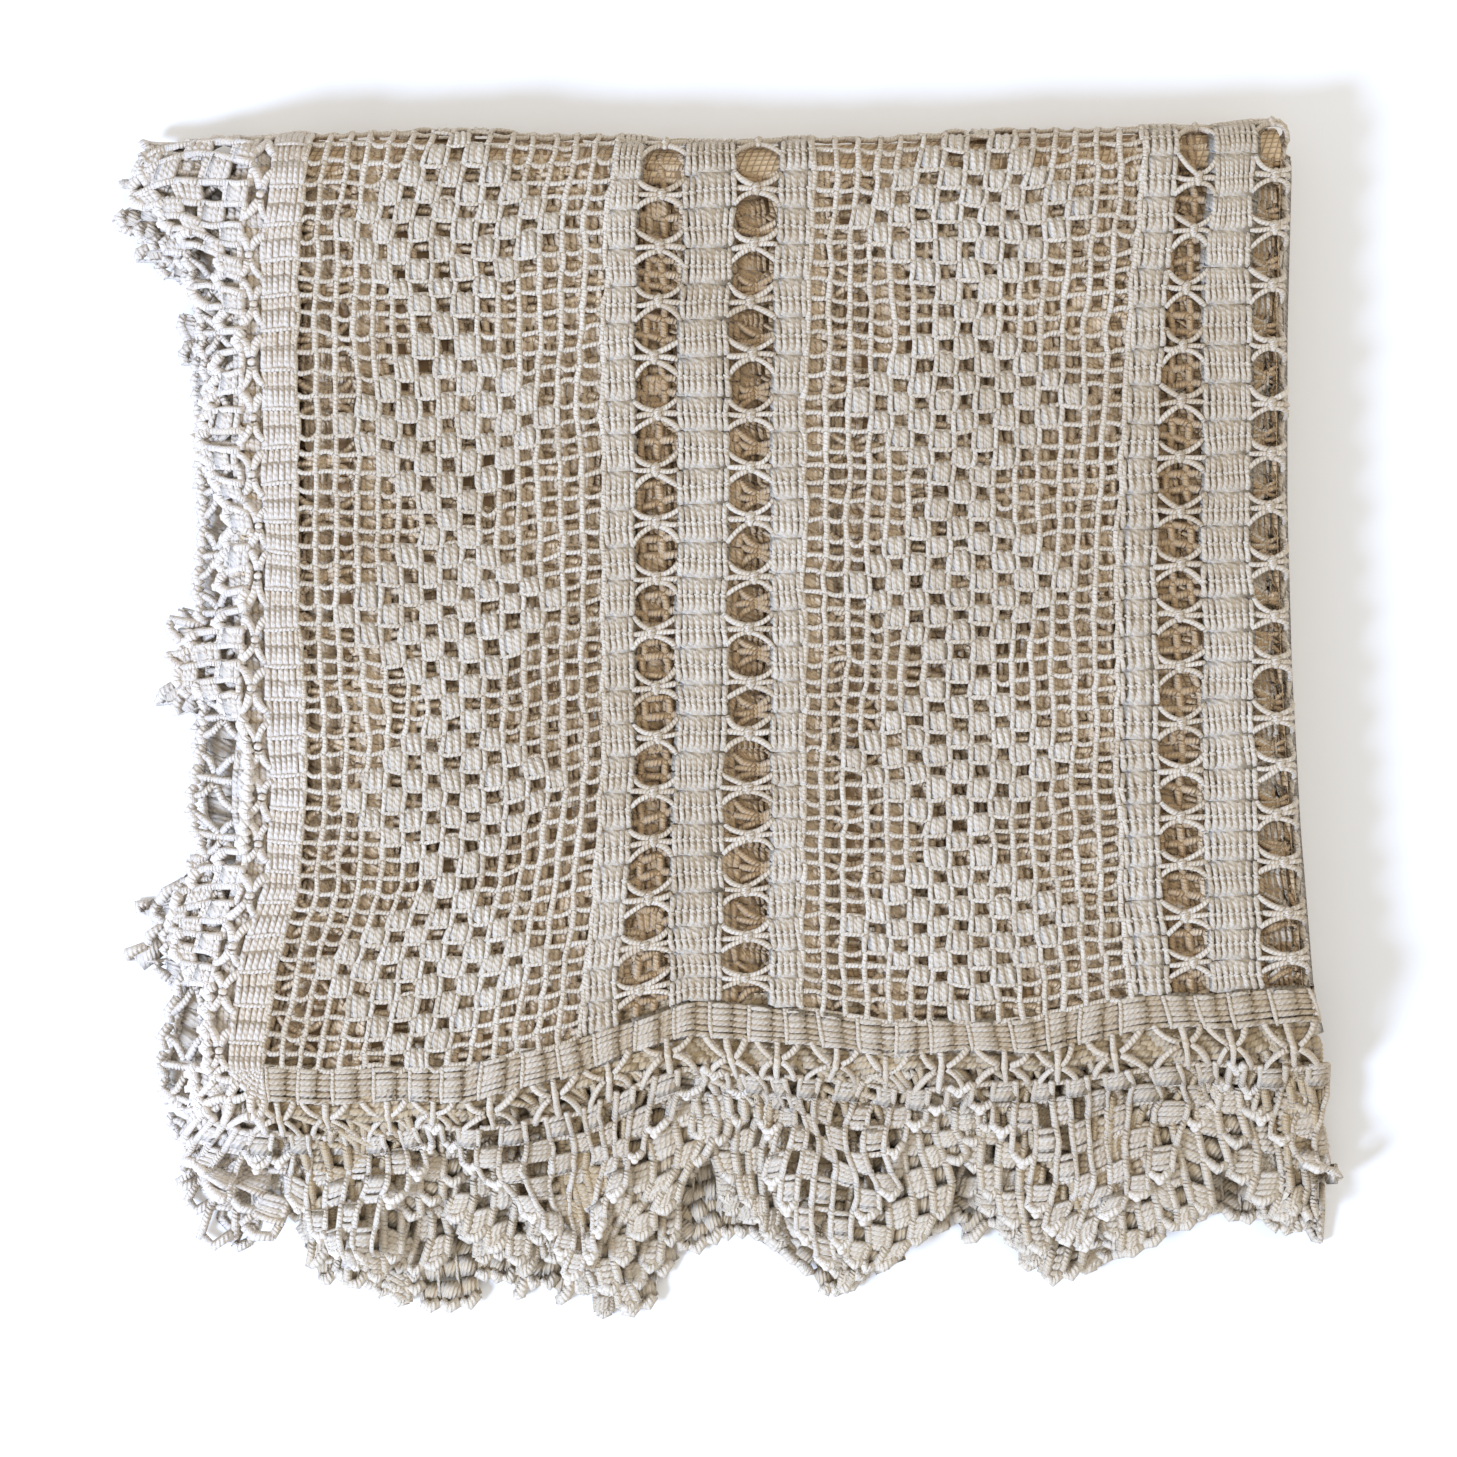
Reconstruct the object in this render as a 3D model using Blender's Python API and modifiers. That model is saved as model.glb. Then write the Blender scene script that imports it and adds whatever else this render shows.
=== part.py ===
"""Filet crochet bedspread, folded in half twice each way into a flat packet.

Units are metres, +Z up, and the origin is under the middle of the packet, on the surface it lies on.
The cloth is worked flat and then folded: a point (across, along) of the flat cloth is first carried
round the crosswise folds, whose layers make one pack, and the pack is carried round the lengthwise
folds. Sixteen layers result, with the four edges of the cloth on two sides of the packet. The
vandyked edging is a separate strip, sewn round the cloth.
"""
import math

import bmesh
import bpy
import numpy as np

# Cloth
SHEET = 0.0011                # thickness of each layer
SEAM_GAP = 0.0003             # between the cloth and its edging

# Folds: a layer is one thickness of cloth, a pack is four layers
LAYER_PITCH = 0.0027
PACK_PITCH = 0.0107
CROSS_STOPS = (0.0, 0.4397, 0.0, 0.4397, 0.0)        # x where each crosswise leg starts and turns
LENGTH_STOPS = (0.0, 0.371, 0.008, 0.371, -0.020)    # y where each lengthwise leg starts and turns
LEG_LEVEL = (1.5, -1.5, -0.5, 0.5)                   # height of each leg, in pitches
TURN_RADIUS = (1.5, 0.5, 0.5)                        # radius of each turn, in pitches
LEG_PARTS = 5
CROSS_TURN_PARTS = (4, 3, 3)
LENGTH_TURN_PARTS = (8, 5, 4)

# Edging
VALLEY_DEPTH = 0.046
POINT_DEPTH = 0.117
CORNER_FAN = 0.040            # length of seam over which the strip turns a corner
FAN_COLUMNS = (0.013, 0.027, 0.040)
COLUMN_SPACE = 0.004          # columns closer than this are merged

# Sides of the edging: depths of its two inner rows, distance from a corner to its first point,
# how many points it has, and its depth at the corners
SIDES = {
    "top_end": ((0.024, 0.044), 0.018, 17, 0.075),
    "right_side": ((0.024, 0.044), 0.042, 15, 0.075),
    "under_end": ((0.004, 0.024), 0.0514, 18, 0.085),
    "left_side": ((0.024, 0.044), 0.042, 15, 0.085),
}

# How the packet lies
LEDGE = 0.024                 # the edging stays level this far beyond the packet, then drops
RAMP = 0.020                  # length over which it drops
SIDE_SQUASH = 0.28            # share of the height lost by the side edging
SIDE_GATHER = 0.45            # width that the side edging keeps beyond GATHER_START
GATHER_START = 0.030
CROWN = 0.05                  # swelling of the middle
CREASE = 0.012                # unevenness of the upper layers

# Shifts of the packet's outline, one for each grid line of the legs
# Across the packet, left to right: how far the lower edge hangs, how far the upper fold stands up
OUTLINE_ACROSS = (
    (0.027, 0.000), (0.024, 0.0015), (0.002, -0.003), (0.005, -0.001), (0.001, 0.002), (-0.004, 0.006),
)
# Along the packet, bottom to top: how far the left edge and the right fold stand out
OUTLINE_ALONG = (
    (0.016, 0.012), (0.000, 0.006), (-0.002, 0.002), (0.000, 0.000), (0.001, 0.000), (0.000, 0.002),
)
FLARE = 0.010                 # how much further the right fold of the edging stands out
FLARE_REACH = 0.044           # distance below the packet where it does so

YARN = (0.83, 0.79, 0.72, 1.0)
EDGING_YARN = (0.86, 0.83, 0.77, 1.0)


def between_grid_lines(rows, column, length, places):
    """Read one column of a table that has a row for each of the grid lines 0 to length."""
    lines = np.linspace(0.0, length, len(rows))
    return np.interp(places, lines, [row[column] for row in rows])


def leg_starts(stops, pitch):
    """Distance along the cloth at which each leg begins, then the cloth's whole length."""
    starts = [0.0]
    for leg in range(4):
        length = abs(stops[leg + 1] - stops[leg])
        turn = math.pi * TURN_RADIUS[leg] * pitch if leg < 3 else 0.0
        starts.append(starts[-1] + length + turn)
    return starts


def follow_folds(distance, stops, pitch):
    """Place, height and normal of a point, from its distance along the cloth."""
    place, height, normal_out, normal_up = (np.zeros_like(distance) for _ in range(4))
    starts = leg_starts(stops, pitch)
    for leg in range(4):
        heading = 1.0 if stops[leg + 1] > stops[leg] else -1.0
        on_leg = distance >= starts[leg] if leg else distance > -math.inf
        place[on_leg] = stops[leg] + heading * (distance[on_leg] - starts[leg])
        height[on_leg] = LEG_LEVEL[leg] * pitch
        normal_out[on_leg] = 0.0
        normal_up[on_leg] = heading
        if leg == 3:
            break
        radius = TURN_RADIUS[leg] * pitch
        turn_start = starts[leg + 1] - math.pi * radius
        on_turn = distance >= turn_start
        angle = (distance[on_turn] - turn_start) / radius
        middle = 0.5 * (LEG_LEVEL[leg] + LEG_LEVEL[leg + 1]) * pitch
        rise = math.copysign(1.0, LEG_LEVEL[leg] - LEG_LEVEL[leg + 1])
        place[on_turn] = stops[leg + 1] + heading * radius * np.sin(angle)
        height[on_turn] = middle + rise * radius * np.cos(angle)
        normal_out[on_turn] = rise * np.sin(angle)
        normal_up[on_turn] = heading * np.cos(angle)
    return place, height, normal_out, normal_up


def fade(value, length):
    """1 at and below zero, falling smoothly to 0 at the given length."""
    share = np.clip(1.0 - value / length, 0.0, 1.0)
    return share * share * (3.0 - 2.0 * share)


def settle(x, y, height):
    """Let the squarely folded packet drop, swell and shift as it lies."""
    width, depth = CROSS_STOPS[1], LENGTH_STOPS[1]
    drop = np.clip((-y - LEDGE) / RAMP, 0.0, 1.0) * 2.0 * PACK_PITCH
    squash = np.clip((-x - LEDGE) / RAMP, 0.0, 1.0) * SIDE_SQUASH
    across = np.clip(x / width, 0.0, 1.0) * math.pi
    along = np.clip(y / depth, 0.0, 1.0) * math.pi
    swell = CROWN * np.sin(across) * np.sin(along)
    swell += CREASE * np.sin(2.0 * across) * np.sin(3.0 * along)
    z = (height - drop) * (1.0 - squash) * (1.0 + swell)

    beyond = np.minimum(x + GATHER_START, 0.0)
    x_gathered = x - beyond * (1.0 - SIDE_GATHER)
    flare = FLARE * np.clip(-y / FLARE_REACH, 0.0, 1.0)
    x_new = x_gathered - between_grid_lines(OUTLINE_ALONG, 0, depth, y) * fade(x, 0.5 * width)
    x_new += (between_grid_lines(OUTLINE_ALONG, 1, depth, y) + flare) * fade(width - x, 0.5 * width)
    y_new = y - between_grid_lines(OUTLINE_ACROSS, 0, width, x) * fade(y, depth)
    y_new += between_grid_lines(OUTLINE_ACROSS, 1, width, x) * fade(depth - y, 0.5 * depth)
    return np.stack([x_new, y_new, z + 0.5 * SHEET], axis=-1)


def lay(across, along):
    """Carry points of the flat cloth to where they lie in the folded packet."""
    x, level, _, _ = follow_folds(across, CROSS_STOPS, LAYER_PITCH)
    y, height, normal_out, normal_up = follow_folds(along, LENGTH_STOPS, PACK_PITCH)
    lowest = -1.5 * (PACK_PITCH + LAYER_PITCH)
    return settle(x, y + level * normal_out, height + level * normal_up - lowest)


def fold_nodes(stops, pitch, turn_parts):
    """Distances of the grid lines along the cloth; each leg's lines lie over the next leg's."""
    nodes = []
    starts = leg_starts(stops, pitch)
    for leg in range(4):
        inner = [stops[1] * part / LEG_PARTS for part in range(1, LEG_PARTS)]
        for place in [stops[leg], *inner, stops[leg + 1]]:
            nodes.append(starts[leg] + abs(place - stops[leg]))
        if leg < 3:
            turn = math.pi * TURN_RADIUS[leg] * pitch
            for part in range(1, turn_parts[leg]):
                nodes.append(starts[leg + 1] - turn * (1.0 - part / turn_parts[leg]))
    return np.array(sorted(nodes))


def leg_number(distance, stops, pitch):
    """The leg that each distance lies on, counting its turn with it."""
    return np.searchsorted(leg_starts(stops, pitch)[1:4], distance, side="right")


def make_material(name, colour):
    material = bpy.data.materials.new(name)
    material.use_nodes = True
    shader = material.node_tree.nodes["Principled BSDF"]
    shader.inputs["Base Color"].default_value = colour
    shader.inputs["Roughness"].default_value = 0.9
    shader.inputs["Metallic"].default_value = 0.0
    return material


def make_sheet(name, places, mirrored, closed, material, collection):
    """A grid laid at the given places, with one diagonal in all layers, thickened to the sheet."""
    rows, columns = places.shape[:2]
    mesh = bpy.data.meshes.new(name)
    grid = bmesh.new()
    bmesh.ops.create_grid(grid, x_segments=columns - 1, y_segments=rows - 1, size=1.0)
    for vertex, place in zip(grid.verts, places.reshape(-1, 3)):
        vertex.co = place
    grid.faces.ensure_lookup_table()
    straight = [face for face, other in zip(grid.faces, mirrored.reshape(-1)) if not other]
    crossed = [face for face, other in zip(grid.faces, mirrored.reshape(-1)) if other]
    bmesh.ops.triangulate(grid, faces=straight, quad_method="FIXED")
    bmesh.ops.triangulate(grid, faces=crossed, quad_method="ALTERNATE")
    if closed:
        bmesh.ops.remove_doubles(grid, verts=grid.verts, dist=1e-6)
    bmesh.ops.recalc_face_normals(grid, faces=grid.faces)
    grid.to_mesh(mesh)
    grid.free()
    mesh.materials.append(material)
    sheet = bpy.data.objects.new(name, mesh)
    collection.objects.link(sheet)
    solidify = sheet.modifiers.new("thickness", "SOLIDIFY")
    solidify.thickness = SHEET
    solidify.offset = 0.0
    return sheet


def cloth_grid(across_nodes, along_nodes):
    """Places of the cloth's grid, and which of its faces take the other diagonal."""
    across, along = np.meshgrid(across_nodes, along_nodes)
    middle_across = 0.5 * (across_nodes[1:] + across_nodes[:-1])
    middle_along = 0.5 * (along_nodes[1:] + along_nodes[:-1])
    cross_legs = leg_number(middle_across, CROSS_STOPS, LAYER_PITCH)
    length_legs = leg_number(middle_along, LENGTH_STOPS, PACK_PITCH)
    mirrored = (cross_legs[None, :] + length_legs[:, None]) % 2 == 1
    return lay(across, along), mirrored


def point_profile(side, next_side, length):
    """Rows of (distance, depth) along a side's outer edge: its points and the valleys between."""
    _, first, count, corner_depth = SIDES[side]
    tips = np.linspace(first, length - first, count)
    half = 0.5 * (tips[1] - tips[0])
    rows = [(tip, POINT_DEPTH) for tip in tips]
    rows += [(tip + half, VALLEY_DEPTH) for tip in tips[:-1]]
    rows += [(0.0, corner_depth), (length, SIDES[next_side][3])]
    return sorted(rows)


def side_columns(nodes, profile, length):
    """Distances of a side's columns: the cloth's own lines, the fans at the corners, the points."""
    columns = list(nodes)
    fans = [*FAN_COLUMNS, *(length - place for place in FAN_COLUMNS)]
    for place in [*fans, *(row[0] for row in profile)]:
        if min(abs(place - column) for column in columns) > COLUMN_SPACE:
            columns.append(place)
    return np.array(sorted(columns))


def edging_side(names, corner, along_step, outward, nodes):
    """Grid places of the strip along one side, up to but not including its far corner."""
    previous, side, following = names
    length = nodes[-1]
    profile = point_profile(side, following, length)
    columns = side_columns(nodes, profile, length)

    def lay_strip(distance, depth):
        spot = corner + distance[:, None] * along_step + depth[:, None] * outward
        return lay(spot[:, 0], spot[:, 1])

    seam_nodes = nodes.copy()
    seam_nodes[0] -= SEAM_GAP
    seam_nodes[-1] += SEAM_GAP
    seam = lay_strip(seam_nodes, np.full(len(nodes), SEAM_GAP))
    rows = [np.stack([np.interp(columns, nodes, seam[:, axis]) for axis in range(3)], axis=-1)]

    near_start = np.maximum(1.0 - columns / CORNER_FAN, 0.0)
    near_end = np.maximum(1.0 - (length - columns) / CORNER_FAN, 0.0)
    for row in range(2):
        spread = near_end * SIDES[following][0][row] - near_start * SIDES[previous][0][row]
        rows.append(lay_strip(columns + spread, np.full(len(columns), SIDES[side][0][row])))
    tilt = 0.25 * math.pi * (near_end - near_start)
    depth = np.interp(columns, *zip(*profile))
    rows.append(lay_strip(columns + depth * np.sin(tilt), depth * np.cos(tilt)))
    return np.stack(rows)[:, :-1], columns


def edging_grid(across_nodes, along_nodes):
    """Places of the strip, going round the cloth to its first column, and its faces' diagonals."""
    width, length = across_nodes[-1], along_nodes[-1]
    order = ("top_end", "right_side", "under_end", "left_side")
    corners = ((0.0, 0.0), (width, 0.0), (width, length), (0.0, length))
    steps = ((1.0, 0.0), (0.0, 1.0), (-1.0, 0.0), (0.0, -1.0))
    nodes = (across_nodes, along_nodes, width - across_nodes[::-1], length - along_nodes[::-1])
    strips, mirrored = [], []
    for number in range(4):
        names = (order[number - 1], order[number], order[(number + 1) % 4])
        outward = -np.array(steps[(number + 1) % 4])
        strip, columns = edging_side(names, np.array(corners[number]), np.array(steps[number]),
                                     outward, nodes[number])
        strips.append(strip)
        quarter = nodes[number][-1] / 4.0
        mirrored.append(0.5 * (columns[1:] + columns[:-1]) // quarter % 2 == 1)
    strips.append(strips[0][:, :1])
    places = np.concatenate(strips, axis=1)
    return places, np.tile(np.concatenate(mirrored), (places.shape[0] - 1, 1))


def main():
    for leftover in list(bpy.data.objects):
        bpy.data.objects.remove(leftover)
    collection = bpy.data.collections.new("crochet_bedspread")
    bpy.context.scene.collection.children.link(collection)

    across_nodes = fold_nodes(CROSS_STOPS, LAYER_PITCH, CROSS_TURN_PARTS)
    along_nodes = fold_nodes(LENGTH_STOPS, PACK_PITCH, LENGTH_TURN_PARTS)
    cloth, cloth_mirrored = cloth_grid(across_nodes, along_nodes)
    edging, edging_mirrored = edging_grid(across_nodes, along_nodes)

    every_place = np.concatenate([cloth.reshape(-1, 3), edging.reshape(-1, 3)])
    middle = 0.5 * (every_place.min(axis=0) + every_place.max(axis=0))
    middle[2] = 0.0
    make_sheet("bedspread_cloth", cloth - middle, cloth_mirrored, False,
               make_material("cotton_yarn", YARN), collection)
    make_sheet("lace_edging", edging - middle, edging_mirrored, True,
               make_material("edging_yarn", EDGING_YARN), collection)


main()
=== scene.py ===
"""Filet crochet bedspread, folded into a packet: every stitch as yarn laid on the cloth's own folds.

A stitch is placed on the flat cloth (across, along, lift), and the fold map that shaped the CAD
solids carries it into the packet. The layer that faces up is worked stitch by stitch. The layers
under it get plainer stitches, and what nobody can see is one thin folded sheet.
"""
import math
import bpy
import numpy as np
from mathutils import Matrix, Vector


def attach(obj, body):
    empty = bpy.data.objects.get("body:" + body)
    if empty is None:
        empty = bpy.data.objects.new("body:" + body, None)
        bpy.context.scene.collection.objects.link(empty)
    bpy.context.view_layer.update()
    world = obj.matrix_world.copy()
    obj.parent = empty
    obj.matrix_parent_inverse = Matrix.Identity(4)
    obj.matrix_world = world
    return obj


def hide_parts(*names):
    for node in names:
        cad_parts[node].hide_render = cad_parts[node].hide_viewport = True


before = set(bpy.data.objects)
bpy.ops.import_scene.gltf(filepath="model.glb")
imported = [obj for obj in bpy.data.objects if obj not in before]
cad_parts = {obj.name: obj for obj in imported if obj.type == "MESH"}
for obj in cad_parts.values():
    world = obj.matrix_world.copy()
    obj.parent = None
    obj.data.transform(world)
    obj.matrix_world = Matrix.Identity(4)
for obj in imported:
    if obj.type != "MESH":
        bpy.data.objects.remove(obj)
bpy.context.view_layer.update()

rng = np.random.default_rng(20)
MM = 0.001
LOWEST = 0.0003              # no yarn dips lower than this over the floor
SOFT = 0.0018                # and what comes this near to it is pressed flatter

# ---------------------------------------------------------------- the folds, as in the CAD source
SHEET = 0.0011               # thickness of the sheet
LAYER_PITCH = 0.0027         # from layer to layer, and from pack to pack of four layers
PACK_PITCH = 0.0107
CROSS_STOPS = (0.0, 0.4397, 0.0, 0.4397, 0.0)
LENGTH_STOPS = (0.0, 0.371, 0.008, 0.371, -0.020)
LEG_LEVEL = (1.5, -1.5, -0.5, 0.5)
TURN_RADIUS = (1.5, 0.5, 0.5)
LEDGE = 0.024                # how far past the first folds the layers lie level before they fall
RAMP = 0.020
SIDE_SQUASH = 0.28
DROOP = 0.3                  # how much lower the left edging lies at its rim
DROOP_REACH = 0.06
CROWN = 0.05
CREASE = 0.012
OUTLINE_ACROSS = ((0.027, 0.002), (0.024, 0.0035), (0.002, -0.001), (0.005, 0.001), (0.001, 0.004),
                  (-0.004, 0.008))
OUTLINE_ALONG = ((0.016, 0.012), (0, 0.006), (-0.002, 0.002), (0, 0), (0.001, 0), (0, 0.002))
FLARE = 0.010
FLARE_REACH = 0.044
PACKET_CORNER = (-0.1911, -0.1173)       # where the cloth's first corner lies in the frame

SIDE_FIRST_POINT = {"top_end": 0.018, "right_side": 0.042, "under_end": 0.0514, "left_side": 0.042}
SIDE_POINTS = {"top_end": 17, "right_side": 15, "under_end": 18, "left_side": 15}
# How far the edging reaches past the packet's corner lines, in mm: to the left, at distances from
# the near edge, and to the front, at distances from the left edge. What would reach further is
# turned under, and isn't made.
LEFT_AT = (-110, -97, -81, -72, -48, -32, -17, 4, 13, 25, 43, 62, 75, 95, 108, 121, 134, 141, 166, 184, 199,
           222, 258, 280, 298, 325, 334, 375, 393)
LEFT_REACH = (24, 25, 33, 42, 36, 40, 47, 44, 58, 68, 64, 46, 30, 22, 22, 24, 36, 58, 54, 40, 34, 44, 41,
              42, 55, 38, 62, 82, 74)
FRONT_AT = (-31, -15, -6, 1, 14, 32, 59, 77, 91, 100, 118, 136, 154, 163, 176, 199, 207, 221, 239, 257, 271,
            284, 302, 316, 334, 350, 365, 381, 395, 408, 424, 437, 453, 464)
FRONT_REACH = (100, 68, 91, 104, 125, 134, 136, 137, 129, 125, 129, 142, 149, 143, 123, 117, 110, 118, 126,
               128, 117, 108, 103, 104, 118, 125, 129, 117, 109, 96, 101, 104, 107, 100)


def between_grid_lines(rows, column, length, places):
    """A column of a table whose rows are evenly spaced over a length, read at places along it."""
    lines = np.linspace(0.0, length, len(rows))
    return np.interp(places, lines, [row[column] for row in rows])


def leg_starts(stops, pitch):
    """Where each leg of the folded line starts, measured along the sheet, and where the last ends."""
    starts = [0.0]
    for leg in range(4):
        length = abs(stops[leg + 1] - stops[leg])
        turn = math.pi * TURN_RADIUS[leg] * pitch if leg < 3 else 0.0
        starts.append(starts[-1] + length + turn)
    return starts


def follow_folds(distance, stops, pitch):
    """Place, height and outward normal of the sheet at a distance along its folded line."""
    place, height, normal_out, normal_up = (np.zeros_like(distance) for _ in range(4))
    starts = leg_starts(stops, pitch)
    for leg in range(4):
        heading = 1.0 if stops[leg + 1] > stops[leg] else -1.0
        on_leg = distance >= (starts[leg] if leg else -math.inf)
        place[on_leg] = stops[leg] + heading * (distance[on_leg] - starts[leg])
        height[on_leg] = LEG_LEVEL[leg] * pitch
        normal_out[on_leg] = 0.0
        normal_up[on_leg] = heading
        if leg == 3:
            break
        radius = TURN_RADIUS[leg] * pitch
        turn_start = starts[leg + 1] - math.pi * radius
        on_turn = distance >= turn_start
        angle = (distance[on_turn] - turn_start) / radius
        middle = 0.5 * (LEG_LEVEL[leg] + LEG_LEVEL[leg + 1]) * pitch
        rise = math.copysign(1.0, LEG_LEVEL[leg] - LEG_LEVEL[leg + 1])
        place[on_turn] = stops[leg + 1] + heading * radius * np.sin(angle)
        height[on_turn] = middle + rise * radius * np.cos(angle)
        normal_out[on_turn] = rise * np.sin(angle)
        normal_up[on_turn] = heading * np.cos(angle)
    return place, height, normal_out, normal_up


def fade(value, length):
    """Falls smoothly from 1 to 0 over a length."""
    share = np.clip(1.0 - value / length, 0.0, 1.0)
    return share * share * (3.0 - 2.0 * share)


def outline_shift(x, y):
    """How far the packet's uneven outline moves what lies at a place."""
    width, depth = CROSS_STOPS[1], LENGTH_STOPS[1]
    flare = FLARE * np.clip(-y / FLARE_REACH, 0.0, 1.0)
    right = between_grid_lines(OUTLINE_ALONG, 1, depth, y) + flare
    shift_x = -between_grid_lines(OUTLINE_ALONG, 0, depth, y) * fade(x, 0.5 * width)
    shift_x = shift_x + right * fade(width - x, 0.5 * width)
    shift_y = -between_grid_lines(OUTLINE_ACROSS, 0, width, x) * fade(y, depth)
    shift_y = shift_y + between_grid_lines(OUTLINE_ACROSS, 1, width, x) * fade(depth - y, 0.5 * depth)
    return shift_x, shift_y


def make_wander(count, shortest, longest, seed):
    """A smooth random field over the flat cloth, about one high."""
    source = np.random.default_rng(seed)
    angle = source.uniform(0.0, 2.0 * math.pi, count)
    length = np.exp(source.uniform(math.log(shortest), math.log(longest), count))
    phase = source.uniform(0.0, 2.0 * math.pi, count)

    def wander(across, along):
        total = 0.0
        for turn, span, start in zip(angle, length, phase):
            wave = (across * math.cos(turn) + along * math.sin(turn)) / span
            total = total + np.sin(2.0 * math.pi * wave + start)
        return total * math.sqrt(2.0 / count)

    return wander


def settle(x, y, height):
    """The packet's soft shape: edging that falls, a squashed left side, a crown, an uneven outline."""
    width, depth = CROSS_STOPS[1], LENGTH_STOPS[1]
    drop = np.clip((-y - LEDGE) / RAMP, 0.0, 1.0) * 2.0 * PACK_PITCH
    squash = np.clip((-x - LEDGE) / RAMP, 0.0, 1.0) * SIDE_SQUASH
    across = np.clip(x / width, 0.0, 1.0) * math.pi
    along = np.clip(y / depth, 0.0, 1.0) * math.pi
    swell = CROWN * np.sin(across) * np.sin(along)
    swell = swell + CREASE * np.sin(2.0 * across) * np.sin(3.0 * along)
    z = (height - drop) * (1.0 - squash) * (1.0 + swell)
    z = z * (1.0 - DROOP * np.clip((-x - LEDGE) / DROOP_REACH, 0.0, 1.0))
    shift_x, shift_y = outline_shift(x, y)
    x_new, y_new = x + shift_x + PACKET_CORNER[0], y + shift_y + PACKET_CORNER[1]
    return np.stack([x_new, y_new, z + 0.5 * SHEET], axis=-1)


def lay(across, along, lift):
    """A place on the flat cloth, and its height over the cloth, carried to where the cloth lies."""
    x, level, out, up = follow_folds(across, CROSS_STOPS, LAYER_PITCH)
    x = x + lift * out
    level = level + lift * up
    y, height, normal_out, normal_up = follow_folds(along, LENGTH_STOPS, PACK_PITCH)
    lowest = -1.5 * (PACK_PITCH + LAYER_PITCH)
    return settle(x, y + level * normal_out, height + level * normal_up - lowest)


CLOTH_ACROSS = leg_starts(CROSS_STOPS, LAYER_PITCH)[-1]
CLOTH_ALONG = leg_starts(LENGTH_STOPS, PACK_PITCH)[-1]

# ---------------------------------------------------------------- how the top layer has drifted
ROW = 0.00786                # height of a row of stitches
CELL = 0.0091                # width of a filet cell, three stitches
PANEL_CELLS = 15
PANEL = PANEL_CELLS * CELL
REPEAT = 0.2282              # a panel and the bands and ladders beside it

DRIFT_ROWS = (-0.5, 5, 15, 25, 35, 45, 50)
# Where rows of the top layer lie, in mm from the packet's corner, at places across the cloth
ROWS_AT = (0, 45.5, 91, 136.5, 182, 228, 273.5, 319, 364.5, 414, 445)
ROWS_LIE = (
    (-29.3, -30.6, -26.6, -14.4, 0.5, -2.7, -7.7, -6.8, 1.8, 5.0, 5.9),
    (17.1, 14.9, 17.6, 24.8, 30.2, 35.6, 34.7, 35.6, 41.9, 44.6, 45.0),
    (92.3, 91.8, 95.0, 105.8, 108.0, 109.8, 110.7, 111.2, 113.9, 116.6, 117.0),
    (176.9, 176.4, 178.7, 184.5, 186.8, 189.0, 189.5, 189.9, 192.2, 194.4, 194.9),
    (261.9, 260.1, 261.9, 267.3, 268.7, 269.8, 269.6, 270.5, 272.7, 274.5, 275.0),
    (348.8, 347.9, 348.3, 351.0, 352.8, 354.2, 354.2, 354.6, 358.2, 360.0, 360.5),
)
# Where columns lie at the middle of the packet, and how far they lean from there at each row
COLUMNS_AT = (0, 45.5, 91, 136.5, 151, 171, 193.5, 213, 228, 273.5, 319, 364.5, 379, 399, 421.7, 445)
COLUMNS_LIE = (0, 45.7, 91.4, 137.3, 151.2, 171, 193.5, 213.3, 227.7, 274, 321.8, 368.1, 386.6,
               405.9, 428.4, 451.7)
COLUMNS_LEAN = (
    (-16.2, -15.5, -13, -9.5, -3.2, -0.5, 0.9, 2.3, 6.3, 5.4, 0),
    (-9.5, -8.1, -7.2, -5.9, -3.6, -0.7, 0.7, 0.7, 2.3, 2.7, 0),
    (3.6, 3.4, 2.3, 0.5, -1.4, -0.1, -1.4, -1.1, -0.5, 1.4, 0),
    (0, 0, 0, 0, 0, 0, 0, 0, 0, 0, 0),
    (-0.9, 0, -1.6, -0.2, 0, 0.2, 2.1, 2.1, 3.6, 0, 0),
    (0.5, -3.4, -1.8, 1.8, 1.4, 3.2, 3.2, 5.0, 9.9, 1.8, 0),
    (5.0, 5.0, 4.1, 6.8, 4.1, 4.5, 7.7, 9.9, 13.5, 4.5, 0),
)


def drift_tables():
    """Shifts across and along the top layer, at each place of ROWS_AT and row of DRIFT_ROWS."""
    places = np.array(ROWS_AT) * MM
    across, along = [], []
    for row, lean, rows_lie in zip(DRIFT_ROWS, COLUMNS_LEAN, (*ROWS_LIE, None)):
        spot = np.full(len(places), (row + 0.5) * ROW)
        shift_x, shift_y = outline_shift(places, spot)
        across.append(np.array(lean) * MM - shift_x)
        along.append(np.array(rows_lie) * MM - shift_y - spot if rows_lie else along[-1])
    across = np.array(across)
    across[:, -1] = 0.0
    return across, np.array(along)


DRIFT_ACROSS, DRIFT_ALONG = drift_tables()


def look_up(table, across, along):
    """Reads a drift table between its places, smoothly along the rows."""
    places = np.array(ROWS_AT) * MM
    rows = (np.array(DRIFT_ROWS) + 0.5) * ROW
    position = np.clip(np.interp(along, rows, np.arange(len(rows))), 0, len(rows) - 1.001)
    low = position.astype(int)
    share = position - low
    columns = np.stack([np.interp(across, places, row) for row in table])
    index = np.indices(across.shape)
    first = columns[(low, *index)]
    second = columns[(low + 1, *index)]
    return first * (1.0 - share) + second * share


wander_across = make_wander(7, 0.030, 0.120, 1)
wander_along = make_wander(7, 0.030, 0.120, 2)
wander_up = make_wander(9, 0.035, 0.160, 3)
ruffle = make_wander(8, 0.022, 0.060, 4)
billow = make_wander(6, 0.060, 0.140, 5)
ragged = make_wander(6, 0.020, 0.060, 6)

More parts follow.
